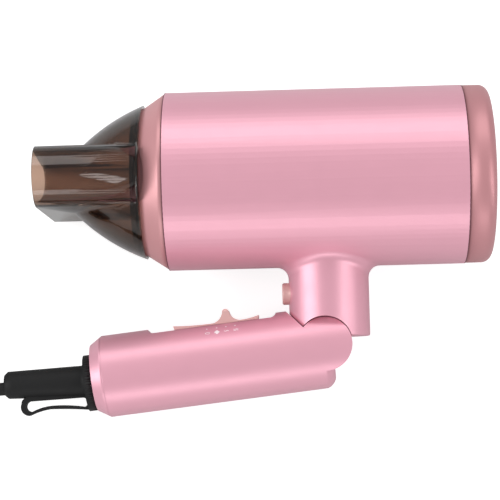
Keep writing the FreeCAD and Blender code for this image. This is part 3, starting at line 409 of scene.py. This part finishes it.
def guard_x(r):
    """Height of the shallow dome: 77.1 mm less 3.3 mm times (r / 35 mm) squared."""
    return 0.0771 - 0.0033 * (r / 0.035) ** 2


def guard_spoke(angle, wire_r=0.0004, count=14):
    """A square wire that follows the dome from 4 to 34.6 mm; its ends are tiny loops closed flat."""
    r = np.linspace(GUARD_INNER_R, GUARD_OUTER_R, count)
    r = np.concatenate([r[:1], r, r[-1:]])
    size = np.full(len(r), wire_r)
    size[0] = size[-1] = 1e-6
    corner = np.array([[-1, -1], [1, -1], [1, 1], [-1, 1]]) * 1.0
    grid = np.stack([guard_x(r)[:, None] + size[:, None] * corner[None, :, 0],
                     r[:, None] + 0 * corner[None, :, 0],
                     size[:, None] * corner[None, :, 1] + 0 * r[:, None]], axis=-1)
    c, s = math.cos(angle), math.sin(angle)
    spin = np.array([[1, 0, 0], [0, c, -s], [0, s, c]])
    return dryer_to_row((grid.reshape(-1, 3) @ spin.T)).reshape(grid.shape)


wires = [ring_of_wire(r, guard_x(r), 0.00042) for r in
         np.linspace(GUARD_INNER_R, GUARD_OUTER_R, 16)]
wires += [guard_spoke(a) for a in np.linspace(0, 2 * np.pi, 48, endpoint=False)]
grid_piece("inlet_guard", wires, dark, "barrel")
seam_dark = finish("seam_shadow", (92, 44, 56), 0.6)
seams = [ring_of_wire(SEAM_R, x, 0.00022) for x in BARREL_ENDS_X]
grid_piece("seam_lines", seams, seam_dark, "barrel")
print("guard and seams made")

# %% [markdown]
# ## The cord's facts
# The cord is 1.8 m of 6.2 mm two-core lead with a plug on its end.

# %% The cord's facts
print("cord points", len(route))

# %% [markdown]
# ## Printed marks beside the switch
# Four small white dots and four signs are printed on the handle, one for each place of the
# switch: nought, a fan, one wave and two waves. A print is a very thin film, so each sign
# is a flat outline rolled round the handle a hair above its skin.

# %% Printed marks

def rolled(flat, x, rise_deg):
    """A flat sign (u along the handle, v round it) on the handle: the angle is rise + v / R."""
    angle = math.radians(rise_deg) + flat[:, 1] / HANDLE_R
    r = HANDLE_R + 0.00003
    return handle_to_row(np.stack([x + flat[:, 0], HANDLE_AXIS_Y + r * np.sin(angle),
                                   r * np.cos(angle)], axis=1))


def ribbon(centre_line, width, closed=False):
    """A band of that width along a flat line: each point moved both ways along its normal."""
    ahead = np.roll(centre_line, -1, axis=0) - np.roll(centre_line, 1, axis=0)
    if not closed:
        ahead[0] = centre_line[1] - centre_line[0]
        ahead[-1] = centre_line[-1] - centre_line[-2]
    normal = np.stack([-ahead[:, 1], ahead[:, 0]], axis=1)
    normal /= np.linalg.norm(normal, axis=1, keepdims=True)
    flat = np.concatenate([centre_line - normal * width / 2, centre_line + normal * width / 2])
    n = len(centre_line)
    i = np.arange(n if closed else n - 1)
    j = (i + 1) % n
    return flat, np.stack([i, j, j + n, i + n], axis=1)


def ellipse(a, b, count=32):
    """Points on an ellipse: a cos t, b sin t."""
    t = np.linspace(0, 2 * np.pi, count, endpoint=False)
    return np.stack([a * np.cos(t), b * np.sin(t)], axis=1)


def wave(length, height, drop):
    """One and a half waves of a sine along u."""
    u = np.linspace(-length / 2, length / 2, 25)
    return np.stack([u, drop + height * np.sin(u / length * 3 * np.pi)], axis=1)


t = np.linspace(0, 2 * np.pi, 48, endpoint=False)
blades = np.stack([np.cos(t), np.sin(t)], axis=1) * (0.0006 + 0.00026 * np.cos(4 * t))[:, None]
MM = 0.001
DOT_RISE, SIGN_RISE = 53.2, 44.0
dot = ribbon(ellipse(0.17 * MM, 0.17 * MM, 16), 0.34 * MM, True)
signs = [(x, DOT_RISE, dot) for x in (-53.3, -48.7, -44.4, -40.1)]
signs += [(-53.1, SIGN_RISE, ribbon(ellipse(1.0 * MM, 0.55 * MM), 0.24 * MM, True)),
          (-48.7, SIGN_RISE, ribbon(blades, 0.8 * MM, True)),
          (-44.3, SIGN_RISE, ribbon(wave(2.2 * MM, 0.14 * MM, 0.0), 0.36 * MM)),
          (-39.9, SIGN_RISE, ribbon(wave(2.3 * MM, 0.14 * MM, 0.36 * MM), 0.30 * MM)),
          (-39.9, SIGN_RISE, ribbon(wave(2.3 * MM, 0.14 * MM, -0.36 * MM), 0.30 * MM))]
points, faces, count = [], [], 0
for x, rise, (flat, quads) in signs:
    points.append(rolled(flat, x * MM, rise))
    faces.append(quads + count)
    count += len(flat)
print_mesh = bpy.data.meshes.new("switch_marks")
print_mesh.from_pydata(np.concatenate(points).tolist(), [], np.concatenate(faces).tolist())
white_print = finish("white_print", (250, 240, 242), 0.5)
print_mesh.materials.append(white_print)
switch_marks = bpy.data.objects.new("switch_marks", print_mesh)
scene.collection.objects.link(switch_marks)
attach(switch_marks, "handle")
print("marks", len(signs))

# %% [markdown]
# ## Table and light
# A white table whose shadow stays soft, and four large soft lamps. The lamp behind the
# barrel draws the long bright band along its top, the two at the sides draw the upright
# bands on the neck, and the low one in front lifts the shaded underside.

# %% Table
def white_card(name, to_eye, through_glass, in_gloss):
    """Matte white that also glows: a level for the eye, one through glass, one in gloss."""
    mat = bpy.data.materials.new(name)
    mat.use_nodes = True
    nodes, links = mat.node_tree.nodes, mat.node_tree.links
    nodes.clear()
    path = nodes.new("ShaderNodeLightPath")
    total = None
    for ray, level in (("Is Camera Ray", to_eye), ("Is Transmission Ray", through_glass),
                       ("Is Glossy Ray", in_gloss)):
        part = nodes.new("ShaderNodeMath")
        part.operation = "MULTIPLY_ADD"
        part.inputs[1].default_value = level
        part.inputs[2].default_value = 0.0
        links.new(path.outputs[ray], part.inputs[0])
        if total is not None:
            links.new(total, part.inputs[2])
        total = part.outputs[0]
    matte = nodes.new("ShaderNodeBsdfDiffuse")
    matte.inputs["Color"].default_value = (0.50, 0.50, 0.50, 1)
    lit = nodes.new("ShaderNodeEmission")
    both = nodes.new("ShaderNodeAddShader")
    out = nodes.new("ShaderNodeOutputMaterial")
    links.new(total, lit.inputs["Strength"])
    links.new(matte.outputs[0], both.inputs[0])
    links.new(lit.outputs[0], both.inputs[1])
    links.new(both.outputs[0], out.inputs["Surface"])
    return mat


table = bpy.data.meshes.new("table")
table.from_pydata([(-6, -6, 0), (6, -6, 0), (6, 6, 0), (-6, 6, 0)], [], [(0, 1, 2, 3)])
table.materials.append(white_card("white_table", 0.78, 0.95, 0.10))
table_top = bpy.data.objects.new("table", table)
table_top.location.z = -0.0002
scene.collection.objects.link(table_top)

# %% Soft light
world = bpy.data.worlds.new("room")
scene.world = world
world.use_nodes = True
world.node_tree.nodes["Background"].inputs["Color"].default_value = (1, 1, 1, 1)
world.node_tree.nodes["Background"].inputs["Strength"].default_value = 0.40


def soft_lamp(name, towards, distance, width, height, watts):
    """A rectangular lamp at a direction and distance from the dryer, facing it."""
    data = bpy.data.lights.new(name, "AREA")
    data.shape = "RECTANGLE"
    data.size, data.size_y = width, height
    data.energy = watts
    lamp = bpy.data.objects.new(name, data)
    way = Vector(towards).normalized()
    lamp.location = way * distance
    lamp.rotation_euler = way.to_track_quat("Z", "Y").to_euler()
    scene.collection.objects.link(lamp)
    return lamp


soft_lamp("lamp_behind", (0.03, 0.66, 0.75), 1.2, 1.6, 0.7, 8)
soft_lamp("lamp_left", (-0.80, -0.15, 0.50), 1.2, 0.5, 1.0, 7.5)
soft_lamp("lamp_right", (0.80, -0.30, 0.56), 1.2, 0.35, 1.0, 5)
soft_lamp("lamp_front", (-0.10, -0.95, 0.24), 1.0, 1.2, 0.3, 3.0)
print("lamps", len(bpy.data.lights))
